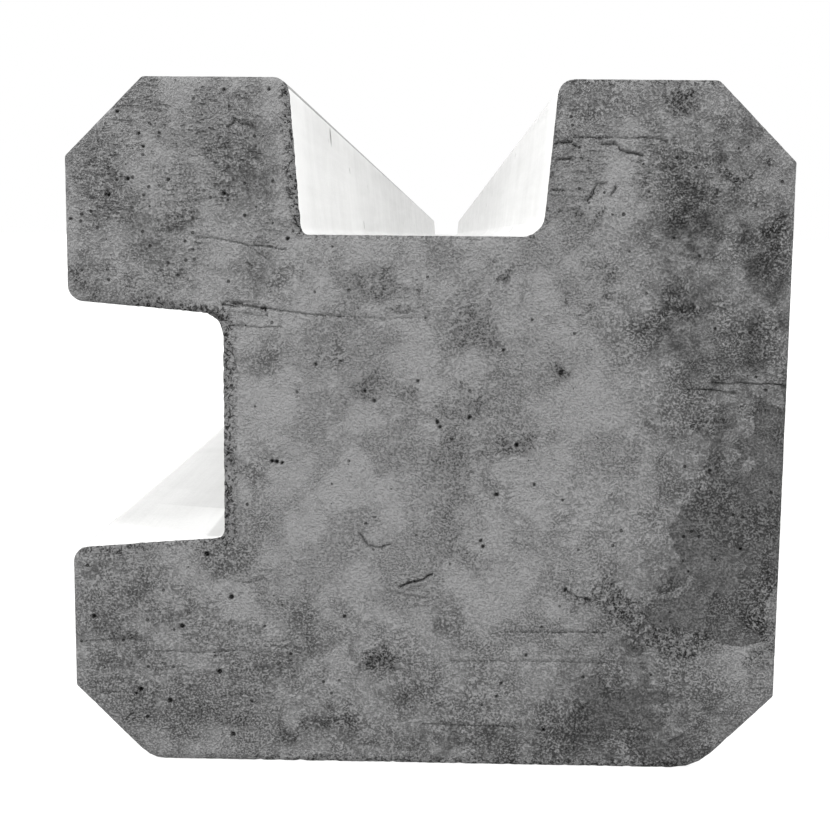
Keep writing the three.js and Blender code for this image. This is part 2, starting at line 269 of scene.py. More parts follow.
class PostSizes(bpy.types.PropertyGroup):
    """Sizes that a user might change."""

    head_cell: bpy.props.FloatProperty(
        name="Head cell", description="Size of the head face's mesh cells", default=0.6 * MM,
        unit="LENGTH")
    foot_cell: bpy.props.FloatProperty(
        name="Foot cell", description="Size of the foot face's mesh cells", default=1.2 * MM, unit="LENGTH")
    arris_width: bpy.props.FloatProperty(
        name="Arris width", description="Width of the worn arris on the end faces", default=1.3 * MM,
        unit="LENGTH")
    arris_drop: bpy.props.FloatProperty(
        name="Arris drop", description="How far the arris falls away", default=0.55 * MM, unit="LENGTH")
    relief: bpy.props.FloatProperty(
        name="Relief", description="Strength of the cast surface's relief", default=1.0, min=0.0, max=2.0)
    shaft_cuts: bpy.props.IntProperty(
        name="Shaft cuts", description="Cuts along the length of the post", default=59, min=1, max=200)
    recess: bpy.props.FloatProperty(
        name="Bar recess", description="Depth of the hollow round each bar end", default=3.0 * MM,
        unit="LENGTH")
    rib_pitch: bpy.props.FloatProperty(
        name="Rib pitch", description="Distance between a bar's ribs", default=8.0 * MM, unit="LENGTH")
    camera_lens: bpy.props.FloatProperty(
        name="Lens", description="Focal length on a 36 mm sensor", default=60.0, min=20.0, max=200.0)


class PostColours(bpy.types.PropertyGroup):
    """Colours that a user might change."""

    end: bpy.props.FloatVectorProperty(
        name="End face", description="Cut concrete of the two ends", default=(0.195, 0.195, 0.1955),
        subtype="COLOR", size=3, min=0.0, max=1.0)
    skin: bpy.props.FloatVectorProperty(
        name="Mould skin", description="Smooth outer faces", default=(0.27, 0.27, 0.267),
        subtype="COLOR", size=3, min=0.0, max=1.0)
    # Painted light: the faces inside the slots are the same concrete, painted pale for the light that falls
    # in them.
    slot: bpy.props.FloatVectorProperty(
        name="Slot skin", description="Dry pale faces inside the slots", default=(0.63, 0.63, 0.625),
        subtype="COLOR", size=3, min=0.0, max=1.0)
    steel: bpy.props.FloatVectorProperty(
        name="Steel", description="Mill scale on the bars", default=(0.10, 0.095, 0.095),
        subtype="COLOR", size=3, min=0.0, max=1.0)
    rust: bpy.props.FloatVectorProperty(
        name="Rust", description="Rust on the bars", default=(0.20, 0.085, 0.035),
        subtype="COLOR", size=3, min=0.0, max=1.0)
    chair: bpy.props.FloatVectorProperty(
        name="Chair", description="Moulded grey plastic of the chairs", default=(0.16, 0.165, 0.17),
        subtype="COLOR", size=3, min=0.0, max=1.0)


# ---- Node helpers ----

def node(tree, kind, inputs=None, **settings):
    """Adds a node. Each input is a value to set or a socket to link."""
    new = tree.nodes.new(kind)
    for name, value in settings.items():
        setattr(new, name, value)
    for key, value in (inputs or {}).items():
        if isinstance(value, bpy.types.NodeSocket):
            tree.links.new(value, new.inputs[key])
        else:
            new.inputs[key].default_value = value
    return new


def maths(tree, operation, *values, clamp=False):
    inputs = {place: value for place, value in enumerate(values)}
    return node(tree, "ShaderNodeMath", inputs, operation=operation, use_clamp=clamp).outputs[0]


def spread(tree, value, low, high, to_low=0.0, to_high=1.0):
    """Maps low..high smoothly on to_low..to_high."""
    inputs = {0: value, 1: low, 2: high, 3: to_low, 4: to_high}
    return node(tree, "ShaderNodeMapRange", inputs, interpolation_type="SMOOTHSTEP").outputs[0]


def blend_colours(tree, factor, first, second, blend="MIX"):
    inputs = {0: factor, 6: first, 7: second}
    return node(tree, "ShaderNodeMix", inputs, data_type="RGBA", blend_type=blend).outputs[2]


def millimetres(tree, stretch=(1.0, 1.0, 1.0)):
    """Object coordinates in millimetres, stretched by dividing each axis."""
    place = node(tree, "ShaderNodeTexCoord").outputs["Object"]
    scale = [1.0 / (MM * part) for part in stretch]
    return node(tree, "ShaderNodeMapping", {"Vector": place, "Scale": scale}).outputs[0]


def cloud(tree, place, size, detail=4.0, roughness=0.55, distortion=0.0):
    """Noise whose lumps are about size millimetres across, as a value round 0.5."""
    inputs = {"Vector": place, "Scale": 1.0 / size, "Detail": detail, "Roughness": roughness,
              "Distortion": distortion}
    return node(tree, "ShaderNodeTexNoise", inputs).outputs[0]


def cells(tree, place, size, feature="F1", output="Distance"):
    inputs = {"Vector": place, "Scale": 1.0 / size}
    return node(tree, "ShaderNodeTexVoronoi", inputs, feature=feature).outputs[output]


def attribute(tree, name):
    return node(tree, "ShaderNodeAttribute", attribute_name=name).outputs["Fac"]


def new_material(name):
    """A material with an empty tree but for its output and its shader."""
    material = bpy.data.materials.new(name)
    material.use_nodes = True
    tree = material.node_tree
    tree.nodes.clear()
    shader = node(tree, "ShaderNodeBsdfPrincipled")
    node(tree, "ShaderNodeOutputMaterial", {"Surface": shader.outputs[0]})
    return material, tree, shader


def add_up(tree, total, *parts):
    """The total plus each part's value times its amount."""
    for value, amount in parts:
        total = maths(tree, "MULTIPLY_ADD", value, amount, total)
    return total


def bump(tree, height, depth, normal=None):
    """A bump whose height of 0..1 stands for depth millimetres."""
    inputs = {"Height": height, "Strength": 1.0, "Distance": depth * MM}
    if normal is not None:
        inputs["Normal"] = normal
    return node(tree, "ShaderNodeBump", inputs).outputs[0]


def grey(tree, value):
    return node(tree, "ShaderNodeCombineColor", {0: value, 1: value, 2: value}).outputs[0]


def centred(tree, value):
    return maths(tree, "SUBTRACT", value, 0.5)


def darkened(tree, colour, shade):
    """The colour where shade is 0, falling to black where it is 1."""
    light = maths(tree, "POWER", maths(tree, "SUBTRACT", 1.0, shade, clamp=True), 2.2)
    return blend_colours(tree, 1.0, (*colour, 1.0), grey(tree, light), "MULTIPLY")


# ---- Materials ----


def pores(tree, place, size, radius, mask, share):
    """1 in small round voids. A cell of the pattern has one if its number is below mask times share."""
    number = node(tree, "ShaderNodeSeparateColor", {0: cells(tree, place, size, output="Color")}).outputs
    limit = maths(tree, "MULTIPLY_ADD", mask, share, 0.02)
    chosen = maths(tree, "LESS_THAN", number[0], limit)
    reach = maths(tree, "MULTIPLY", maths(tree, "MULTIPLY_ADD", number[1], 0.8, 0.6), radius)
    edge = maths(tree, "DIVIDE", cells(tree, place, size), reach)
    return maths(tree, "MULTIPLY", spread(tree, edge, 1.0, 0.6), chosen)


# The marks that the mesh of the body carries for the materials, as attributes of these names.
# The fourth is painted shade in the end faces' holes, gouges, scores and cracks. The fifth is
# painted highlight on raised ridges and scores, painted shade along the side slot's lower inner
# corner, and a slight even darkening of the shaft's skin.
MARKS = ("tone", "stain", "torn", "hollow", "worn", "pitted", "streaked", "crumbled", "rusty")


def end_concrete(colours):
    """Cut concrete: mottled cement, sand and voids, with damp stains from the mesh's own attributes, and
    painted shade in its hollows and painted highlights on its raised grain, crumbs and ridges.
    """
    material, tree, shader = new_material("end_concrete")
    place = millimetres(tree)
    sideways = millimetres(tree, (3.4, 1.0, 1.0))
    patches = cloud(tree, place, 9.0, 5.0, 0.6, 0.4)
    mottle = cloud(tree, place, 2.4, 6.0, 0.65)
    sand = cloud(tree, place, 0.62, 3.0, 0.6)
    fine = spread(tree, cloud(tree, place, 0.36, 1.0, 0.5), 0.37, 0.63)
    tone, stain_field, torn, hollow, worn, pitted, streaked, crumbled, rusty = (
        attribute(tree, name) for name in MARKS)
    # The skin is smooth in some patches and sandy in others.
    sandy = maths(tree, "MULTIPLY_ADD", torn, 1.1, spread(tree, patches, 0.42, 0.60, 0.55, 1.25))
    grit = maths(tree, "MULTIPLY", centred(tree, fine), sandy)
    pore = pores(tree, place, 1.5, 0.17, pitted, 0.42)
    dashes = cloud(tree, sideways, 0.52, 1.0, 0.5, 0.5)
    dash = maths(tree, "MULTIPLY", spread(tree, dashes, 0.42, 0.35), streaked)
    dash = maths(tree, "MULTIPLY", dash, spread(tree, patches, 0.40, 0.55))
    # A damp stain starts where its field and a ragged noise cross one half.
    ragged = cloud(tree, place, 2.6, 8.0, 0.85)
    raggedness = maths(tree, "MULTIPLY_ADD", centred(tree, ragged), 1.1, stain_field)
    stain = spread(tree, raggedness, 0.46, 0.55)
    inside = maths(tree, "MULTIPLY_ADD", spread(tree, mottle, 0.36, 0.62), 0.05, 0.335)
    # Cement clouds break the broad tones up, with crisp edges here and there.
    broken = spread(tree, cloud(tree, place, 3.4, 7.0, 0.75, 0.3), 0.40, 0.58, 0.65, 1.22)
    unstained = maths(tree, "MULTIPLY_ADD", stain, -0.75, 1.0)
    dry = maths(tree, "MULTIPLY", maths(tree, "MULTIPLY", tone, broken), unstained)
    # Painted light and shade: the sand's raised tops are painted paler and its hollows darker, as light and
    # shade on its relief.
    shade = add_up(tree, dry, (stain, inside), (centred(tree, patches), 0.06),
                   (centred(tree, mottle), 0.20), (centred(tree, sand), -0.40))
    # Torn skin: small crumbs with hollows between, close together where the face is torn or crumbled. The
    # crumbs' tops are painted paler, as highlight, and the hollows between them darker, as shade.
    crumbs = cloud(tree, place, 0.72, 2.0, 0.55, 0.8)
    torn_hollow_shade = maths(tree, "MULTIPLY", spread(tree, crumbs, 0.47, 0.39), torn)
    torn_top_highlight = maths(tree, "MULTIPLY", spread(tree, crumbs, 0.53, 0.60), torn)
    crumb_hollow_shade = maths(tree, "MULTIPLY", spread(tree, crumbs, 0.49, 0.42), crumbled)
    crumb_top_highlight = maths(tree, "MULTIPLY", spread(tree, crumbs, 0.52, 0.58), crumbled)
    # Painted light and shade: the grit's tops are paler, the voids and dashes darker as shade in them, and
    # the crumbled band paler against the shade its rounded arris takes.
    shade = add_up(tree, shade, (grit, -0.32), (torn_hollow_shade, 0.30), (torn_top_highlight, -0.28), (crumbled, -0.10),
                   (crumb_hollow_shade, 0.52), (crumb_top_highlight, -0.45), (hollow, 0.42), (worn, -0.18), (pore, 0.42),
                   (dash, 0.22))
    colour = darkened(tree, colours.end, shade)
    colour = blend_colours(tree, rusty, colour, (*colours.rust, 1.0))
    tree.links.new(colour, shader.inputs["Base Color"])
    tree.links.new(spread(tree, mottle, 0.2, 0.8, 0.82, 0.97), shader.inputs["Roughness"])
    # The height is in millimetres: sand, crumbs, small voids and dashes, about as fine as the mesh.
    height = maths(tree, "MULTIPLY", sand, sandy)
    height = add_up(tree, height, (grit, 0.30), (pore, -0.65), (dash, -0.85), (torn_hollow_shade, -0.80),
                    (crumb_hollow_shade, -1.10))
    tree.links.new(bump(tree, height, 1.0), shader.inputs["Normal"])
    shader.inputs["Specular IOR Level"].default_value = 0.3
    return material


def skin_concrete(name, colour, cloudiness, streakiness, holes):
    """Mould-cast skin: cement cloudy along the mould, with air holes painted dark as shade in them,
    lengthwise rubbed streaks, and painted shade from the mesh's marks.
    """
    material, tree, shader = new_material(name)
    place = millimetres(tree)
    along = millimetres(tree, (1.0, 26.0, 1.0))
    clouds = cloud(tree, place, 70.0, 5.0, 0.6, 0.6)
    patches = cloud(tree, place, 16.0, 5.0, 0.65, 0.3)
    streaks = cloud(tree, along, 4.5, 4.0, 0.6)
    sand = cloud(tree, place, 0.9, 3.0, 0.6)
    shade = maths(tree, "MULTIPLY", centred(tree, clouds), cloudiness)
    shade = add_up(tree, shade, (centred(tree, patches), cloudiness * 0.8),
                   (centred(tree, streaks), streakiness), (centred(tree, sand), 0.05))
    # Air holes of two sizes, each cell of the pattern having one only if its own number is high. The holes
    # are painted darker, as shade in them.
    deep = None
    for size, share, radius in ((9.0, 1.0 - holes, 0.16), (26.0, 1.0 - 0.6 * holes, 0.11)):
        number = cells(tree, place, size, output="Color")
        chosen = node(tree, "ShaderNodeSeparateColor", {0: number}).outputs[1]
        rim = spread(tree, cells(tree, place, size), radius, radius * 0.55)
        hole = maths(tree, "MULTIPLY", rim, spread(tree, chosen, share, share + 0.03))
        deep = hole if deep is None else maths(tree, "MAXIMUM", deep, hole)
    # Painted shade: the air holes are darkened, and so are the faces where the hollow and worn marks rise,
    # near the end faces' hollows and along the side slot's inner corner; the worn mark also darkens the whole
    # shaft's skin a little.
    shade = add_up(tree, shade, (deep, 0.30), (attribute(tree, "worn"), 0.20),
                   (attribute(tree, "hollow"), 0.30))
    tree.links.new(darkened(tree, colour, shade), shader.inputs["Base Color"])
    tree.links.new(spread(tree, patches, 0.2, 0.8, 0.72, 0.92), shader.inputs["Roughness"])
    height = maths(tree, "MULTIPLY_ADD", streaks, 0.5, maths(tree, "MULTIPLY", sand, 0.3))
    normal = bump(tree, height, 0.25)
    normal = bump(tree, maths(tree, "SUBTRACT", 1.0, deep), 0.9, normal)
    tree.links.new(normal, shader.inputs["Normal"])
    shader.inputs["Specular IOR Level"].default_value = 0.35
    return material


def rusty_steel(colours):
    """Hot-rolled bar: dark mill scale broken by rust."""
    material, tree, shader = new_material("rusty_steel")
    place = millimetres(tree)
    along = millimetres(tree, (1.0, 9.0, 1.0))
    patches = cloud(tree, along, 5.0, 6.0, 0.7, 0.5)
    grains = cloud(tree, place, 0.7, 5.0, 0.7)
    rust = spread(tree, maths(tree, "MULTIPLY_ADD", grains, 0.35, patches), 0.58, 0.76)
    bright = tuple(min(1.0, 1.9 * part) for part in colours.rust)
    rust_colour = blend_colours(tree, spread(tree, grains, 0.35, 0.65), (*colours.rust, 1.0), (*bright, 1.0))
    colour = blend_colours(tree, rust, (*colours.steel, 1.0), rust_colour)
    tree.links.new(colour, shader.inputs["Base Color"])
    tree.links.new(maths(tree, "MULTIPLY_ADD", rust, -0.8, 0.85, clamp=True), shader.inputs["Metallic"])
    tree.links.new(maths(tree, "MULTIPLY_ADD", rust, 0.35, 0.5), shader.inputs["Roughness"])
    height = maths(tree, "MULTIPLY_ADD", rust, 0.7, grains)
    tree.links.new(bump(tree, height, 0.12), shader.inputs["Normal"])
    return material


def chair_plastic(colours):
    """Recycled moulded plastic: cloudy grey with a fine moulded grain and cement dust."""
    material, tree, shader = new_material("chair_plastic")
    place = millimetres(tree)
    swirl = cloud(tree, place, 6.0, 3.0, 0.5, 1.2)
    grain = cloud(tree, place, 0.35, 2.0, 0.5)
    dust = spread(tree, cloud(tree, place, 2.2, 5.0, 0.7), 0.52, 0.72)
    pale = tuple(min(1.0, 1.5 * part) for part in colours.chair)
    colour = blend_colours(tree, swirl, (*colours.chair, 1.0), (*pale, 1.0))
    colour = blend_colours(tree, maths(tree, "MULTIPLY", dust, 0.5), colour, (0.42, 0.42, 0.41, 1.0))
    tree.links.new(colour, shader.inputs["Base Color"])
    tree.links.new(maths(tree, "MULTIPLY_ADD", dust, 0.35, 0.42), shader.inputs["Roughness"])
    tree.links.new(bump(tree, grain, 0.05), shader.inputs["Normal"])
    return material


def floor_material():
    material, tree, shader = new_material("studio_floor")
    place = millimetres(tree)
    shade = spread(tree, cloud(tree, place, 60.0, 3.0), 0.2, 0.8, 0.27, 0.29)
    tree.links.new(grey(tree, shade), shader.inputs["Base Color"])
    shader.inputs["Roughness"].default_value = 0.9
    shader.inputs["Emission Color"].default_value = (1.0, 1.0, 1.0, 1.0)
    shader.inputs["Emission Strength"].default_value = 0.80
    return material


# ---- Selecting and editing ----

def clear_selection():
    if bpy.context.object and bpy.context.object.mode != "OBJECT":
        bpy.ops.object.mode_set(mode="OBJECT")
    bpy.ops.object.select_all(action="DESELECT")


def pick(*pieces):
    """Selects only these pieces, with the first as the active one."""
    clear_selection()
    for piece in pieces:
        piece.select_set(True)
    bpy.context.view_layer.objects.active = pieces[0]


def settle():
    """Moves the selected pieces' place, turn and scale into their meshes."""
    bpy.ops.object.transform_apply(location=True, rotation=True, scale=True)


def edit(piece, mode="VERT"):
    pick(piece)
    bpy.ops.object.mode_set(mode="EDIT")
    bpy.ops.mesh.select_mode(type=mode)
    bpy.ops.mesh.select_all(action="DESELECT")
    return bmesh.from_edit_mesh(piece.data)


def select_where(piece, kind, test):
    """In edit mode, selects only the elements of one kind, verts, edges or faces, that pass the test."""
    bpy.ops.mesh.select_mode(type={"verts": "VERT", "edges": "EDGE", "faces": "FACE"}[kind])
    bpy.ops.mesh.select_all(action="DESELECT")
    mesh = bmesh.from_edit_mesh(piece.data)
    count = 0
    for element in getattr(mesh, kind):
        if test(element):
            element.select_set(True)
            count += 1
    mesh.select_flush_mode()
    bmesh.update_edit_mesh(piece.data)
    return count


def leave_edit():
    bpy.ops.object.mode_set(mode="OBJECT")


def mark_faces(piece, mesh, chosen):
    """In edit mode, selects the faces that are chosen and no others."""
    for face, wanted in zip(mesh.faces, chosen):
        face.select_set(bool(wanted))
    bmesh.update_edit_mesh(piece.data)


def give_away(piece, slot, *nodes):
    """A finished piece rides on the post and stands for its nodes."""
    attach(piece, "root")
    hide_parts(*nodes)


# ---- The section's outline ----

def section_outline():
    """The section's corner points as Vector((x, z)) in order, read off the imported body's head end."""
    mesh = bmesh.new()
    mesh.from_mesh(frame["nodes"]["post_body"].data)
    bmesh.ops.remove_doubles(mesh, verts=mesh.verts, dist=1e-6)
    mesh.normal_update()
    near = HEAD_Y + 0.01 * MM
    neighbours = {}
    for edge in mesh.edges:
        first, second = edge.verts
        if first.co.y > near or second.co.y > near:
            continue
        if sum(face.normal.y < -0.9 for face in edge.link_faces) != 1:
            continue
        neighbours.setdefault(first, []).append(second)
        neighbours.setdefault(second, []).append(first)
    start = min(neighbours, key=lambda vert: (vert.co.z, vert.co.x))
    path = [start]
    while True:
        options = [vert for vert in neighbours[path[-1]] if len(path) < 2 or vert != path[-2]]
        if options[0] == start or (len(path) > 2 and start in options):
            break
        path.append(options[0])
    outline = [Vector((vert.co.x, vert.co.z)) for vert in path]
    mesh.free()
    area = sum(a.cross(b) for a, b in zip(outline, outline[1:] + outline[:1]))
    return outline if area > 0 else outline[::-1]


def straight_runs(outline):
    """The outline's points with those left out that lie on a straight line between their neighbours."""
    kept = []
    for place, point in enumerate(outline):
        before = (point - outline[place - 1]).normalized()
        after = (outline[(place + 1) % len(outline)] - point).normalized()
        if abs(before.cross(after)) > 0.01:
            kept.append(point)
    return kept


def inside_outline(points, outline):
    """True for each of the [x, z] rows that lies inside the outline."""
    inside = np.zeros(len(points), bool)
    for first, second in zip(outline, outline[1:] + outline[:1]):
        spans = (first.y > points[:, 1]) != (second.y > points[:, 1])
        if first.y == second.y:
            continue
        across = (second.x - first.x) * (points[:, 1] - first.y) / (second.y - first.y) + first.x
        inside ^= spans & (points[:, 0] < across)
    return inside


def distance_to_run(x, z, first, second):
    """Distance of each point from the line between two points, all [x, z]."""
    dx, dz = second[0] - first[0], second[1] - first[1]
    length = dx * dx + dz * dz
    along = np.clip(((x - first[0]) * dx + (z - first[1]) * dz) / length, 0.0, 1.0) if length else 0.0 * x
    return np.hypot(x - first[0] - along * dx, z - first[1] - along * dz)


def face_centres(mesh):
    return np.array([face.calc_center_median()[:] for face in mesh.faces])


def end_sheet(name, y, facing, cell, outline):
    """A flat sheet of small cells, cut to the section's outline, at one end of the post."""
    margin = 1.0 * MM
    columns = round((WIDTH + 2 * margin) / cell)
    rows = round((HEIGHT + 2 * margin) / cell)
    clear_selection()
    bpy.ops.mesh.primitive_grid_add(
        x_subdivisions=columns, y_subdivisions=rows, size=1.0, rotation=(-facing * math.pi / 2, 0.0, 0.0),
        location=((LOW.x + HIGH.x) / 2 + 0.13 * cell, y, (LOW.z + HIGH.z) / 2 + 0.21 * cell))
    sheet = bpy.context.object
    sheet.name = name
    sheet.scale = (WIDTH + 2 * margin, HEIGHT + 2 * margin, 1.0)
    settle()
    edit(sheet, "FACE")
    for first, second in zip(outline, outline[1:] + outline[:1]):
        mesh = bmesh.from_edit_mesh(sheet.data)
        centres = face_centres(mesh)
        close = distance_to_run(centres[:, 0], centres[:, 2], first, second) < 1.2 * cell
        mark_faces(sheet, mesh, close)
        run = (second - first).normalized()
        bpy.ops.mesh.bisect(
            plane_co=(first.x, y, first.y), plane_no=(run.y, 0.0, -run.x), threshold=CUT_TOLERANCE)
        bpy.ops.mesh.select_all(action="DESELECT")
    mesh = bmesh.from_edit_mesh(sheet.data)
    centres = face_centres(mesh)
    mark_faces(sheet, mesh, ~inside_outline(centres[:, [0, 2]], outline))
    bpy.ops.mesh.delete(type="FACE")
    bpy.ops.mesh.select_all(action="SELECT")
    bpy.ops.mesh.remove_doubles(threshold=0.02 * MM)
    leave_edit()
    return sheet


def refine(sheet, marks, cuts):
    """Subdivides the cells round each mark: a path and its reach, in millimetres."""
    edit(sheet, "FACE")
    mesh = bmesh.from_edit_mesh(sheet.data)
    centres = face_centres(mesh) / MM
    chosen = np.zeros(len(centres), bool)
    for path, reach in marks:
        chosen |= along_path(centres[:, 0], centres[:, 2], path) < reach
    mark_faces(sheet, mesh, chosen)
    bpy.ops.mesh.subdivide(number_cuts=cuts)
    leave_edit()


def round_arris(sheet, facing, sizes):
    """Lets the sheet's rim fall back from the end face as a worn arris."""
    edit(sheet, "VERT")
    select_where(sheet, "verts", lambda vert: vert.is_boundary)
    bpy.ops.transform.translate(
        value=(0.0, -facing * sizes.arris_drop, 0.0), use_proportional_edit=True,
        proportional_edit_falloff="SHARP", proportional_size=sizes.arris_width)
    leave_edit()


def grow_rings(sheet, facing, steps, outline):
    """Extrudes the sheet's rim along the post, and leaves only the outline's own points on the last ring."""
    edit(sheet, "EDGE")
    select_where(sheet, "edges", lambda edge: edge.is_boundary)
    for step in steps:
        bpy.ops.mesh.extrude_edges_move(
            TRANSFORM_OT_translate={"value": (0.0, -facing * step, 0.0)})
    corners = kdtree.KDTree(len(outline))
    for place, point in enumerate(outline):
        corners.insert((point.x, point.y, 0.0), place)
    corners.balance()

    def between_corners(vert):
        return vert.is_boundary and corners.find((vert.co.x, vert.co.z, 0.0))[2] > 0.03 * MM

    select_where(sheet, "verts", between_corners)
    bpy.ops.mesh.dissolve_verts()
    leave_edit()


def sink_recesses(sheet, facing, places, radius, depth):
    """Opens a round hollow in the sheet for each bar end."""
    edit(sheet, "FACE")
    for x, z in places:
        for side in range(12):
            angle = math.tau * side / 12
            normal = Vector((math.cos(angle), 0.0, math.sin(angle)))
            select_where(sheet, "faces", lambda face: math.hypot(
                face.calc_center_median().x - x, face.calc_center_median().z - z) < 1.6 * radius)
            bpy.ops.mesh.bisect(
                plane_co=(x + radius * normal.x, FOOT_Y, z + radius * normal.z), plane_no=normal,
                threshold=CUT_TOLERANCE)
        select_where(sheet, "faces", lambda face: math.hypot(
            face.calc_center_median().x - x, face.calc_center_median().z - z) < 0.99 * radius)
        bpy.ops.mesh.extrude_region_move(TRANSFORM_OT_translate={"value": (0.0, -facing * depth, 0.0)})
    leave_edit()


# ---- The relief and tone of an end face, all in millimetres on the face ----

def noise_field(points, size, octaves=3, seed=0.0, stretch=1.0):
    """Fractal noise, about -1 to 1, with lumps size across and stretch times longer along X."""
    return np.array([
        noise.fractal((x / (size * stretch), z / size, seed), 1.0, 2.0, octaves) for x, z in points])


def crackle_field(points, size, seed=0.0):
    """1 in the narrow cracks between cells size across, 0 within them."""
    gaps = np.empty(len(points))
    for place, (x, z) in enumerate(points):
        nearest = noise.voronoi((x / size, z / size, seed))[0]
        gaps[place] = nearest[1] - nearest[0]
    return np.clip(1.0 - gaps / 0.28, 0.0, 1.0)


def soft_spot(x, z, spot, edge=1.0):
    """1 at the middle of a tilted oval spot, easing to 0 at its rim."""
    middle_x, middle_z, half_width, half_height, tilt = spot
    turn = math.radians(tilt)
    across = (x - middle_x) * math.cos(turn) + (z - middle_z) * math.sin(turn)
    up = (z - middle_z) * math.cos(turn) - (x - middle_x) * math.sin(turn)
    reach = np.clip((1.0 - np.hypot(across / half_width, up / half_height)) / edge, 0.0, 1.0)
    return reach * reach * (3.0 - 2.0 * reach)


def along_path(x, z, path):
    """Distance of each point from a broken line."""
    return np.min([distance_to_run(x, z, first, second) for first, second in zip(path, path[1:])], axis=0)


def bowl(distance, radius):
    return np.clip(1.0 - (distance / radius) ** 2, 0.0, 1.0)


def pepper_pits(low_x, low_z, high_x, high_z, count, seed, size):
    """Small air holes scattered over a block: x, z, radius, depth."""
    draw = random.Random(seed)
    return [
        (draw.uniform(low_x, high_x), draw.uniform(low_z, high_z), size * draw.uniform(0.7, 1.3),
         size * draw.uniform(0.5, 1.0)) for _ in range(count)]


def end_face_fields(points, holes, detailed):
    """Depth, in mm into the concrete, and the marks of an end face, for rows of [x, z] in millimetres."""
    x, z = points[:, 0], points[:, 1]
    coarse = noise_field(points, 16.0, 3, 1.0)
    lumps = noise_field(points, 3.6, 3, 2.0)
    grain = noise_field(points, 1.25, 2, 3.0)
    dashes = noise_field(points, 0.9, 3, 4.0, stretch=4.5)
    crackle = crackle_field(points + 0.5 * np.stack([lumps, grain], 1), 1.7, 5.0)
    warp_x = x + 2.6 * lumps + 4.0 * noise_field(points, 9.0, 3, 13.0)
    warp_z = z + 2.6 * noise_field(points, 3.6, 3, 12.0) + 4.0 * noise_field(points, 9.0, 3, 14.0)
    crumbled, torn, stain, tone, hollow, worn = (np.zeros(len(x)) for _ in range(6))
    if detailed:
        for *oval, strength in TORN_PATCHES:
            torn = np.maximum(torn, strength * soft_spot(warp_x, warp_z, (*oval, 0.0), 0.7))
        for *spot, strength in REGIONS:
            tone += strength * soft_spot(warp_x, warp_z, spot, 0.8)
        for *spot, strength in TONES:
            tone += strength * soft_spot(warp_x, warp_z, spot, 0.75)
        for spot in STAIN:
            stain = np.maximum(stain, soft_spot(warp_x, warp_z, spot, 0.35))
        for spot in SOFT_STAIN:
            stain = np.maximum(stain, 0.9 * soft_spot(warp_x, warp_z, spot, 1.0))
        for spot in STAIN_GAPS:
            stain = stain * (1.0 - soft_spot(warp_x, warp_z, spot, 0.9))
    else:
        tone = 0.16 * np.clip(noise_field(points, 22.0, 4, 8.0) + 0.3, 0.0, 1.0)
        torn = np.clip(2.0 * noise_field(points, 12.0, 3, 9.0) - 0.3, 0.0, 1.0)
    streaked = soft_spot(x, z, (-44.0, 104.0, 26.0, 26.0, 0), 0.5) + 0.7 * soft_spot(
        x, z, (36.0, 106.0, 24.0, 14.0, 0), 0.6) + 0.5 * soft_spot(x, z, (-40.0, 20.0, 30.0, 26.0, 0), 0.6)
    pitted = 0.25 + 0.75 * streaked + soft_spot(x, z, (55.0, 46.0, 14.0, 26.0, 0), 0.5)
    depth = 0.22 * coarse + 0.15 * lumps + 0.12 * grain + 0.15 * dashes * streaked
    depth += torn * (0.35 * crackle + 0.50 * grain - 0.08)
    # Painted shade: the hollow mark rises in the cracks of torn patches, and below in the air holes, gouges
    # and scores, so that the materials darken them as shade.
    hollow += 0.06 * torn * crackle
    for hole_x, hole_z, radius, sink in holes:
        away = np.hypot(x - hole_x + 0.12 * lumps, z - hole_z + 0.12 * grain)
        near = np.clip(2.8 - 2.8 * away / radius, 0.0, 1.0)
        depth += 1.3 * sink * near
        hollow += 0.50 * near
    if detailed:
        for width, sink, path in GOUGES:
            near = bowl(along_path(x + 0.4 * grain, z + 0.5 * lumps, path), width)
            depth += 1.4 * sink * near
            hollow += 0.5 * near
        # Painted highlight: the worn mark rises on the ridges and on the scores that stand proud, so that the
        # end concrete paints them paler as light on their tops.
        for width, rise, path in RIDGES:
            near = bowl(along_path(x, z, path), width)
            depth -= rise * near
            worn += 0.6 * near
        for width, sink, path in SCORES:
            near = bowl(along_path(x, z + 0.25 * lumps, path), 1.45 * width)
            depth += 1.1 * sink * near
            hollow += 2.4 * max(sink, 0.0) * near
            worn += 3.0 * max(-sink, 0.0) * near
        for from_x, from_z, to_x, to_z, width, strength in CRUMBLED_EDGES:
            distance = distance_to_run(x, z, (from_x, from_z), (to_x, to_z))
            band = np.clip(1.9 - 1.9 * (distance + 0.5 * lumps) / width, 0.0, 1.0) * strength
            depth += band * np.clip(0.10 + 0.6 * grain, 0.0, 0.4)
            crumbled = np.maximum(crumbled, band)
            torn = np.maximum(torn, 0.5 * band)
    marks = {
        "tone": np.clip(tone, -0.3, 0.6), "stain": stain, "torn": np.clip(torn, 0.0, 1.0),
        "hollow": np.clip(hollow, 0.0, 1.2), "worn": np.clip(worn, 0.0, 1.0),
        "pitted": np.clip(pitted, 0.0, 1.0), "streaked": np.clip(streaked, 0.0, 1.0), "crumbled": crumbled}
    return depth, marks


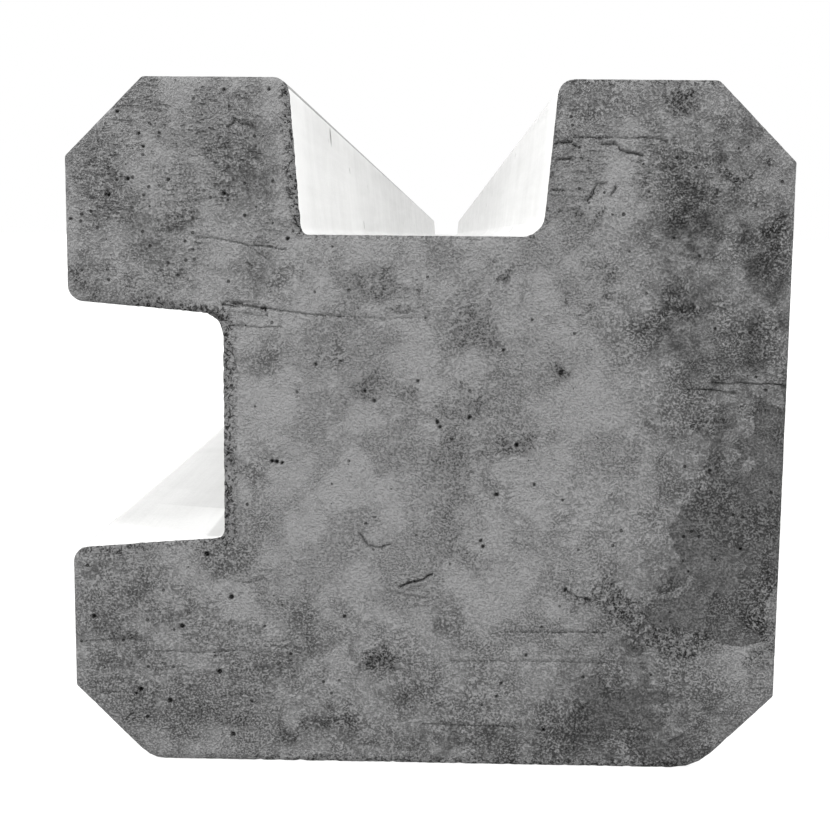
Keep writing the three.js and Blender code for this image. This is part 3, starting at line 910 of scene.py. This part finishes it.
def nearest_on_outline(points, outline):
    """For rows of [x, z]: distance to the outline, nearest point on it, way inwards and number of the run."""
    best = np.full(len(points), np.inf)
    spot = np.zeros((len(points), 2))
    inwards = np.zeros((len(points), 2))
    run_number = np.zeros(len(points), int)
    for number, (first, second) in enumerate(zip(outline, outline[1:] + outline[:1])):
        run = second - first
        share = np.clip(((points[:, 0] - first.x) * run.x + (points[:, 1] - first.y) * run.y)
                        / run.length_squared, 0.0, 1.0)
        on_run = np.stack([first.x + share * run.x, first.y + share * run.y], 1)
        distance = np.hypot(*(points - on_run).T)
        closer = distance < best
        best[closer] = distance[closer]
        spot[closer] = on_run[closer]
        run_number[closer] = number
        inwards[closer] = np.array([-run.y, run.x]) / run.length
    return best, spot, inwards, run_number


def crumble_strength(spots):
    """How crumbled the arris is at each [x, z] in millimetres on the outline."""
    strength = np.full(len(spots), 0.25)
    for from_x, from_z, to_x, to_z, width, amount in CRUMBLED_EDGES:
        distance = distance_to_run(spots[:, 0], spots[:, 1], (from_x, from_z), (to_x, to_z))
        strength = np.maximum(strength, amount * np.clip(2.0 - distance / width, 0.0, 1.0))
    return strength


def work_the_surface(body, outline, sizes):
    """Moves the finished body's points for relief and wear, and writes the marks that the materials read."""
    mesh = body.data
    count = len(mesh.vertices)
    flat = np.empty(count * 3)
    mesh.vertices.foreach_get("co", flat)
    places = flat.reshape(-1, 3)
    marks = {name: np.zeros(count) for name in MARKS}
    rim_reach, spot, inwards, _ = nearest_on_outline(places[:, [0, 2]], outline)
    on_rim = rim_reach < 0.05 * MM
    for end_y, facing, holes, detailed in (
            (HEAD_Y, -1.0, HEAD_HOLES, True), (FOOT_Y, 1.0, FOOT_HOLES, False)):
        behind = (end_y - places[:, 1]) * facing
        sheet = behind < sizes.arris_drop + 0.05 * MM
        rows = places[sheet][:, [0, 2]] / MM
        depth, face_marks = end_face_fields(rows, holes, detailed)
        depth = np.clip(depth, -0.6, 1.3)
        depth[on_rim[sheet]] = np.clip(depth[on_rim[sheet]], 0.0, 0.9)
        places[sheet, 1] -= facing * sizes.relief * depth * MM
        for name, values in face_marks.items():
            marks[name][sheet] = values
        # The arris is nibbled: the rim and what is close to it moves inwards.
        close = (behind < 14 * MM) & (rim_reach < 1.5 * MM)
        spots = spot[close] / MM
        nibble = np.array([
            noise.fractal((x / 0.9, y / (2.5 * MM), z / 0.9), 1.0, 2.0, 3)
            for (x, z), y in zip(spots, np.maximum(behind[close], 0.0))])
        amount = np.clip(0.15 + nibble, 0.0, 0.8) * crumble_strength(spots) * 0.15 * MM
        amount *= (1.0 - rim_reach[close] / (1.5 * MM)) * np.clip(1.0 - behind[close] / (12 * MM), 0.0, 1.0)
        places[np.ix_(close, [0, 2])] += inwards[close] * amount[:, None]
    # The shaft's skin carries a little of the worn mark all over, an even slight darkening.
    shaft = ~(marks["worn"] > 0) & (np.abs(places[:, 1]) < FOOT_Y - 20 * MM)
    marks["worn"][shaft] = 0.15
    # Painted shade: the side slot's skin is darkened along its lower inner corner, where the block above
    # shades it, but not on the head end's own face.
    corner_x, corner_z = -35.5 * MM, 40.5 * MM
    shaded_slot_corner = np.hypot(places[:, 0] - corner_x, places[:, 2] - corner_z) < 3.5 * MM
    marks["worn"][shaded_slot_corner & (np.abs(places[:, 1] - HEAD_Y) > 1.2 * MM)] = 0.55
    for bar in BARS:
        middle = bar_middle(bar)
        away = np.hypot(places[:, 0] - middle.x, places[:, 2] - middle.y) / MM
        at_foot = places[:, 1] > FOOT_Y - 6 * MM
        marks["rusty"] += at_foot * np.clip(0.75 - (away - 3.0) / 5.0, 0.0, 0.7)
    mesh.vertices.foreach_set("co", places.ravel())
    for name, values in marks.items():
        layer = mesh.attributes.new(name, "FLOAT", "POINT")
        layer.data.foreach_set("value", values.astype(np.float32))
    mesh.update()


# ---- The concrete body ----

END, SKIN, SLOT = 0, 1, 2
HEAD_HOLES = [(x, z, 0.62 * radius, depth) for x, z, radius, depth in AIR_HOLES]
FOOT_HOLES = pepper_pits(-60, 2, 60, 119, 90, 9, 0.8)


def head_marks():
    """What on the head end needs finer cells: paths and their reach, in millimetres."""
    marks = [([(x, z), (x + 0.01, z)], 1.3 * radius + 0.25) for x, z, radius, _ in HEAD_HOLES]
    marks += [(path, width + 0.25) for width, _, path in GOUGES + RIDGES]
    return marks


def join_ends(head, foot, cuts):
    """Joins the two end pieces by the shaft between them, cut across along its length."""
    pick(head, foot)
    bpy.ops.object.join()
    edit(head, "EDGE")
    select_where(head, "edges", lambda edge: edge.is_boundary)
    bpy.ops.mesh.bridge_edge_loops(number_cuts=cuts, interpolation="LINEAR")
    bpy.ops.mesh.select_all(action="SELECT")
    bpy.ops.mesh.normals_make_consistent(inside=False)
    leave_edit()
    return head


def choose_finishes(body):
    """Gives each face its finish: end concrete, mould skin or slot skin, the last painted pale for the light
    that falls into the slots.
    """
    side_mouth = LOW.x + 1.5 * MM
    top_mouth = HIGH.z - 1.5 * MM
    for face in body.data.polygons:
        centre, normal = face.center, face.normal
        at_end = min(centre.y - HEAD_Y, FOOT_Y - centre.y) < 1.1 * MM or abs(normal.y) > 0.75
        in_top = HEIGHT / 2 + 30 * MM < centre.z < top_mouth and abs(centre.x) < 24 * MM
        in_side = side_mouth < centre.x < -30 * MM and abs(centre.z - HEIGHT / 2) < 23 * MM
        face.material_index = END if at_end else (SLOT if in_top or in_side else SKIN)
        face.use_smooth = True


def unwrap_for_paint(body, outline):
    """Lays out the body's own paint map: long sides unrolled along the bottom, the ends above them."""
    mesh = body.data
    while mesh.uv_layers:
        mesh.uv_layers.remove(mesh.uv_layers[0])
    layer = mesh.uv_layers.new(name="OFBake")
    starts = [0.0]
    for first, second in zip(outline, outline[1:] + outline[:1]):
        starts.append(starts[-1] + (second - first).length)
    across = SIDES_STRIP / starts[-1]
    along = (1.0 - 2 * MAP_MARGIN) / (FOOT_Y - HEAD_Y + 2 * MM)
    centres = np.array([face.center[:] for face in mesh.polygons])
    runs = nearest_on_outline(centres[:, [0, 2]], outline)[3]
    for face, run_number in zip(mesh.polygons, runs):
        at_head = face.center.y < 0
        (corner_u, corner_v), size = HEAD_MAP if at_head else FOOT_MAP
        depth = min(face.center.y - HEAD_Y, FOOT_Y - face.center.y)
        flat_end = abs(face.normal.y) > 0.35 and depth < 4.5 * MM
        deep_inside = not flat_end and depth < 4.5 * MM and inner_wall(face.center, outline, run_number)
        for loop in face.loop_indices:
            place = mesh.vertices[mesh.loops[loop].vertex_index].co
            if flat_end or (deep_inside and at_head):
                scale = size / WIDTH
                spot = (corner_u + (place.x - LOW.x) * scale, corner_v + place.z * scale)
            elif deep_inside:
                spot = recess_spot(place, face.center)
            else:
                first = outline[run_number]
                run = outline[(run_number + 1) % len(outline)] - first
                share = (Vector((place.x, place.z)) - first).dot(run) / run.length_squared
                travelled = starts[run_number] + min(max(share, 0.0), 1.0) * run.length
                spot = (MAP_MARGIN + (place.y - HEAD_Y + MM) * along, MAP_MARGIN + travelled * across)
            layer.data[loop].uv = spot


def inner_wall(centre, outline, run_number):
    """True for a face that stands clear of the outline, as the walls round the bar ends do."""
    first = outline[run_number]
    second = outline[(run_number + 1) % len(outline)]
    return distance_to_run(np.array([centre.x]), np.array([centre.z]), first, second)[0] > 1.2 * MM


def recess_spot(place, face_centre):
    """A place in the strip kept for the walls of the hollows round the bar ends."""
    centre = Vector((face_centre.x, face_centre.z))
    bar = min(range(len(BARS)), key=lambda number: (bar_middle(BARS[number]) - centre).length)
    middle = bar_middle(BARS[bar])
    facing = math.atan2(face_centre.z - middle.y, face_centre.x - middle.x)
    angle = math.atan2(place.z - middle.y, place.x - middle.x)
    if angle - facing > math.pi:
        angle -= math.tau
    if facing - angle > math.pi:
        angle += math.tau
    return (0.78 + 0.05 * bar + 0.018 + 0.006 * angle, 0.50 + (FOOT_Y - place.y) * 6.0)


def bar_middle(bar):
    """The middle of a bar across the post, as Vector((x, z))."""
    low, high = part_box("bar_" + bar)
    return Vector(((low.x + high.x) / 2, (low.z + high.z) / 2))


class POST_OT_concrete(bpy.types.Operator):
    """Adds the concrete body: two worn end faces, joined by the slotted shaft."""

    bl_idname = "fence_post.concrete"
    bl_label = "Concrete body"

    def execute(self, context):
        sizes, colours = context.scene.post_sizes, context.scene.post_colours
        outline = section_outline()
        corners = straight_runs(outline)
        head = end_sheet("post_concrete", HEAD_Y, -1, sizes.head_cell, corners)
        foot = end_sheet("foot_sheet", FOOT_Y, 1, sizes.foot_cell, corners)
        bars = [tuple(bar_middle(bar)) for bar in BARS]
        refine(head, [(path, 0.38) for _, _, path in SCORES], 3)
        refine(head, head_marks(), 2)
        round_arris(head, -1, sizes)
        round_arris(foot, 1, sizes)
        sink_recesses(foot, 1, bars, 3.4 * MM, sizes.recess)
        grow_rings(head, -1, [step * MM for step in (1.3, 1.0, 1.6, 2.6, 4.0, 6.5, 10.0, 14.0)], corners)
        grow_rings(foot, 1, [step * MM for step in (1.6, 3.0, 8.0, 16.0)], corners)
        body = join_ends(head, foot, sizes.shaft_cuts)
        work_the_surface(body, corners, sizes)
        choose_finishes(body)
        unwrap_for_paint(body, corners)
        body.data.materials.append(end_concrete(colours))
        body.data.materials.append(skin_concrete("mould_skin", colours.skin, 0.22, 0.10, 0.35))
        # The slot skin is the concrete painted pale, as light in the slots.
        body.data.materials.append(skin_concrete("slot_skin", colours.slot, 0.10, 0.10, 0.12))
        give_away(body, "concrete", "post_body")
        return {"FINISHED"}


class POST_OT_stage(bpy.types.Operator):
    """Adds the pale floor, the soft light and the camera in front of the head end."""

    bl_idname = "fence_post.stage"
    bl_label = "Stage"

    def execute(self, context):
        clear_selection()
        bpy.ops.mesh.primitive_plane_add(size=80.0, location=(0.0, 0.0, -0.2 * MM))
        floor = context.object
        floor.name = "floor"
        floor.data.materials.append(floor_material())
        world = bpy.data.worlds.new("studio")
        context.scene.world = world
        world.use_nodes = True
        tree = world.node_tree
        tree.nodes.clear()
        way = node(tree, "ShaderNodeTexCoord").outputs["Generated"]
        height = node(tree, "ShaderNodeSeparateXYZ", {0: way}).outputs[2]
        strength = spread(tree, height, 0.0, 0.9, 0.62, 1.0)
        seen = node(tree, "ShaderNodeLightPath").outputs["Is Camera Ray"]
        backdrop = maths(tree, "MAXIMUM", strength, seen)
        sky = node(tree, "ShaderNodeBackground", {0: (1.0, 1.0, 1.0, 1.0), 1: backdrop})
        node(tree, "ShaderNodeOutputWorld", {0: sky.outputs[0]})
        head_middle = Vector((0.0, HEAD_Y, HEIGHT / 2))
        for side, place, strength in (("left", -1.0, 1.0), ("right", 1.0, 0.7)):
            away = Vector((place * LAMP_WAY[0], *LAMP_WAY[1:])).normalized()
            window = add_lamp("SUN", side + "_window", away, 3.0 * away, WINDOW_POWER * strength)
            window.angle = math.radians(14)
            box_place = head_middle + SOFTBOX_DISTANCE * away
            box = add_lamp("SPOT", side + "_softbox", away, box_place, SOFTBOX_POWER * strength)
            box.spot_size = math.radians(30)
            box.spot_blend = 0.8
            box.shadow_soft_size = 0.126
        place_camera(context)
        context.scene.view_settings.view_transform = "Standard"
        context.scene.view_settings.look = "None"
        return {"FINISHED"}


def add_lamp(kind, name, away, place, energy):
    """Adds a lamp that shines against the direction called away."""
    bpy.ops.object.light_add(type=kind, location=place)
    lamp = bpy.context.object
    lamp.name = name
    lamp.data.energy = energy
    lamp.rotation_euler = away.to_track_quat("Z", "Y").to_euler()
    return lamp.data


def place_camera(context):
    """The camera stands close in front of the head end, a little above its middle, looking slightly down."""
    right, front, up = (distance * MM for distance in CAMERA_PLACE)
    bpy.ops.object.camera_add(location=(right, HEAD_Y - front, up))
    camera = context.object
    camera.data.lens = context.scene.post_sizes.camera_lens
    camera.data.sensor_width = 36.0
    camera.data.clip_start = 0.01
    camera.data.clip_end = 200.0
    pitch, turn, lean = (math.radians(angle) for angle in CAMERA_TURNS)
    camera.rotation_mode = "QUATERNION"
    camera.rotation_quaternion = (
        Quaternion((0.0, 0.0, 1.0), turn) @ Quaternion((1.0, 0.0, 0.0), math.pi / 2 - pitch)
        @ Quaternion((0.0, 0.0, 1.0), lean))
    context.scene.camera = camera


# ---- The reinforcement inside ----

def copy_piece(piece, name, shift):
    """A copy with its own mesh, moved in its mesh."""
    twin = piece.copy()
    twin.data = piece.data.copy()
    twin.name = name
    bpy.context.scene.collection.objects.link(twin)
    pick(twin)
    bpy.ops.transform.translate(value=shift)
    settle()
    return twin


def nodes_along(stem):
    """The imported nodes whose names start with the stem, from the head end on."""
    names = [name for name in frame["nodes"] if name.startswith(stem)]
    return sorted(names, key=lambda name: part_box(name)[0].y)


def repeat_along(first, nodes, stem, slot):
    """Copies the first piece to each further node, and gives all of them away."""
    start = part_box(nodes[0])[0].y
    pieces = [first]
    for number, name in enumerate(nodes[1:], 2):
        shift = (0.0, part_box(name)[0].y - start, 0.0)
        pieces.append(copy_piece(first, f"{stem}_{number}", shift))
    for name, piece in zip(nodes, pieces):
        give_away(piece, slot, name)


def round_edges(piece, width, sharp, smooth):
    """Rounds the edges sharper than one angle in degrees and smooths the shading below another."""
    bevel = piece.modifiers.new("rounded", "BEVEL")
    bevel.width = width
    bevel.segments = 2
    bevel.limit_method = "ANGLE"
    bevel.angle_limit = math.radians(sharp)
    bevel.use_clamp_overlap = True
    bpy.ops.object.modifier_apply(modifier=bevel.name)
    bpy.ops.object.shade_smooth_by_angle(angle=math.radians(smooth))


def rib_unit(radius, pitch, rib_height, sides):
    """One pitch of a ribbed bar, open at both ends, starting at the head end of a bar on the Y axis."""
    clear_selection()
    bpy.ops.mesh.primitive_cylinder_add(
        vertices=sides, radius=radius, depth=pitch, end_fill_type="NOTHING",
        location=(0.0, pitch / 2, 0.0), rotation=(math.pi / 2, 0.0, 0.0))
    unit = bpy.context.object
    settle()
    edit(unit, "FACE")
    for share in (0.30, 0.42, 0.58, 0.70):
        bpy.ops.mesh.select_all(action="SELECT")
        bpy.ops.mesh.bisect(
            plane_co=(0.0, share * pitch, 0.0), plane_no=(0.0, 1.0, 0.0), threshold=CUT_TOLERANCE)
    select_where(unit, "verts", lambda vert: abs(vert.co.y / pitch - 0.5) < 0.1)
    grown = 1.0 + rib_height / radius
    bpy.ops.transform.resize(value=(grown, 1.0, grown))
    # The two plain seams along the bar stay low, as they do on a rolled bar.
    select_where(unit, "verts", lambda vert: abs(vert.co.y / pitch - 0.5) < 0.1
                 and abs(vert.co.z) < 0.3 * radius)
    bpy.ops.transform.resize(value=(1.0 / grown, 1.0, 1.0))
    leave_edit()
    return unit


def cap_ends(piece):
    """Closes a tube's two open ends with flat faces."""
    edit(piece, "EDGE")
    select_where(piece, "edges", lambda edge: edge.is_boundary)
    bpy.ops.mesh.edge_face_add()
    bpy.ops.mesh.select_all(action="SELECT")
    bpy.ops.mesh.normals_make_consistent(inside=False)
    leave_edit()


class POST_OT_bars(bpy.types.Operator):
    """Adds the four ribbed bars that run the length of the post."""

    bl_idname = "fence_post.bars"
    bl_label = "Main bars"

    def execute(self, context):
        steel = rusty_steel(context.scene.post_colours)
        low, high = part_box("bar_" + BARS[0])
        rib_height = 0.25 * MM
        length = high.y - low.y
        units = round(length / context.scene.post_sizes.rib_pitch)
        first = rib_unit((high.x - low.x) / 2 - rib_height, length / units, rib_height, 12)
        first.name = "ribbed_bar_" + BARS[0]
        array = first.modifiers.new("ribs", "ARRAY")
        array.count = units
        array.use_relative_offset = False
        array.use_constant_offset = True
        array.constant_offset_displace = (0.0, length / units, 0.0)
        array.use_merge_vertices = True
        array.merge_threshold = 0.01 * MM
        pick(first)
        bpy.ops.object.modifier_apply(modifier=array.name)
        cap_ends(first)
        for face in first.data.polygons:
            face.use_smooth = abs(face.normal.y) < 0.9
        first.data.materials.append(steel)
        middle = bar_middle(BARS[0])
        bars = [first]
        for bar in BARS[1:]:
            place = bar_middle(bar)
            bars.append(copy_piece(first, "ribbed_bar_" + bar, (place.x, low.y, place.y)))
        pick(first)
        bpy.ops.transform.translate(value=(middle.x, low.y, middle.y))
        settle()
        for bar, piece in zip(BARS, bars):
            give_away(piece, "reinforcing_steel", "bar_" + bar)
        return {"FINISHED"}


def make_rung(name, node_name, lean):
    """A straight wire across the section, a little thicker towards each end."""
    low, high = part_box(node_name)
    middle = (low + high) / 2
    radius = (high.y - low.y) / 2
    overhang = 2 * radius * math.sin(math.pi / 4)
    across, up = high.x - low.x - overhang, high.z - low.z - overhang
    length = math.hypot(across, up)
    turn = math.atan2(across, up) * lean
    clear_selection()
    bpy.ops.mesh.primitive_cylinder_add(
        vertices=20, radius=0.94 * radius, depth=length, location=middle, rotation=(0.0, turn, 0.0))
    rung = bpy.context.object
    rung.name = name
    settle()
    way = Vector((math.sin(turn), 0.0, math.cos(turn)))
    edit(rung, "FACE")
    flare = 1.6 * radius
    for side in (-1, 1):
        for back in (flare, 0.6 * flare, 0.25 * flare):
            bpy.ops.mesh.select_all(action="SELECT")
            bpy.ops.mesh.bisect(
                plane_co=middle + way * side * (length / 2 - back), plane_no=way, threshold=CUT_TOLERANCE)
        for back, growth in ((flare * 0.3, 1.03), (0.0, 1.03)):
            select_where(rung, "verts", lambda vert: (
                (vert.co - middle).dot(way) * side > length / 2 - back - 0.01 * MM))
            centre = middle + way * side * length / 2
            bpy.ops.transform.resize(value=(growth, growth, growth), center_override=centre)
    for count in range(1, 12):
        bpy.ops.mesh.select_all(action="SELECT")
        cut = middle + way * (count / 12 - 0.5) * (length - 2.2 * flare)
        bpy.ops.mesh.bisect(plane_co=cut, plane_no=way, threshold=CUT_TOLERANCE)
    leave_edit()
    round_edges(rung, 0.2 * MM, sharp=50, smooth=40)
    return rung


class POST_OT_rungs(bpy.types.Operator):
    """Adds the crossing wires that hold the bars apart."""

    bl_idname = "fence_post.rungs"
    bl_label = "Rung wires"

    def execute(self, context):
        steel = rusty_steel(context.scene.post_colours)
        for kind, lean in (("falling", -1.0), ("rising", 1.0)):
            nodes = nodes_along(kind + "_rung_")
            first = make_rung(f"{kind}_wire_1", nodes[0], lean)
            first.data.materials.append(steel)
            repeat_along(first, nodes, f"{kind}_wire", "reinforcing_steel")
        return {"FINISHED"}


class POST_OT_chairs(bpy.types.Operator):
    """Adds the plastic cover chairs clipped on the bars, each with rounded moulded edges."""

    bl_idname = "fence_post.chairs"
    bl_label = "Cover chairs"

    def execute(self, context):
        plastic = chair_plastic(context.scene.post_colours)
        for bar in BARS:
            nodes = nodes_along(f"chair_{bar}_")
            first = moulded_chair(f"cover_chair_{bar}_1", nodes[0])
            first.data.materials.append(plastic)
            repeat_along(first, nodes, f"cover_chair_{bar}", "spacer_plastic")
        return {"FINISHED"}


def moulded_chair(name, node_name):
    """The chair's solid with its flats made whole, a sunken panel in each side and rounded edges."""
    chair = frame["nodes"][node_name].copy()
    chair.data = frame["nodes"][node_name].data.copy()
    chair.name = name
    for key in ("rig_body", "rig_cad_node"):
        if key in chair:
            del chair[key]
    chair.parent = None
    chair.data.materials.clear()
    bpy.context.scene.collection.objects.link(chair)
    edit(chair, "FACE")
    bpy.ops.mesh.select_all(action="SELECT")
    bpy.ops.mesh.remove_doubles(threshold=0.002 * MM)
    bpy.ops.mesh.select_all(action="SELECT")
    bpy.ops.mesh.dissolve_limited(angle_limit=math.radians(1.0))
    select_where(chair, "faces", lambda face: abs(face.normal.y) > 0.99)
    bpy.ops.mesh.inset(thickness=0.45 * MM, use_individual=True)
    bpy.ops.mesh.inset(thickness=0.15 * MM, depth=-0.4 * MM, use_individual=True)
    leave_edit()
    round_edges(chair, 0.12 * MM, sharp=40, smooth=35)
    return chair


class POST_PT_panel(bpy.types.Panel):
    """Lists the post's pieces in the sidebar."""

    bl_idname = "POST_PT_panel"
    bl_label = "Fence post"
    bl_space_type = "VIEW_3D"
    bl_region_type = "UI"
    bl_category = "Fence post"

    def draw(self, context):
        for settings in (context.scene.post_sizes, context.scene.post_colours):
            box = self.layout.box()
            for name in settings.__annotations__:
                box.prop(settings, name)
        for operator in OPERATORS:
            self.layout.operator(operator.bl_idname)


OPERATORS = (POST_OT_stage, POST_OT_concrete, POST_OT_bars, POST_OT_rungs, POST_OT_chairs)
CLASSES = (PostSizes, PostColours, *OPERATORS, POST_PT_panel)


def register():
    for each in CLASSES:
        bpy.utils.register_class(each)
    bpy.types.Scene.post_sizes = bpy.props.PointerProperty(type=PostSizes)
    bpy.types.Scene.post_colours = bpy.props.PointerProperty(type=PostColours)


def unregister():
    del bpy.types.Scene.post_colours
    del bpy.types.Scene.post_sizes
    for each in reversed(CLASSES):
        bpy.utils.unregister_class(each)


def main():
    """Makes the stage and every piece."""
    register()
    bpy.ops.fence_post.stage()
    bpy.ops.fence_post.concrete()
    bpy.ops.fence_post.bars()
    bpy.ops.fence_post.rungs()
    bpy.ops.fence_post.chairs()


if __name__ == "__main__":
    main()
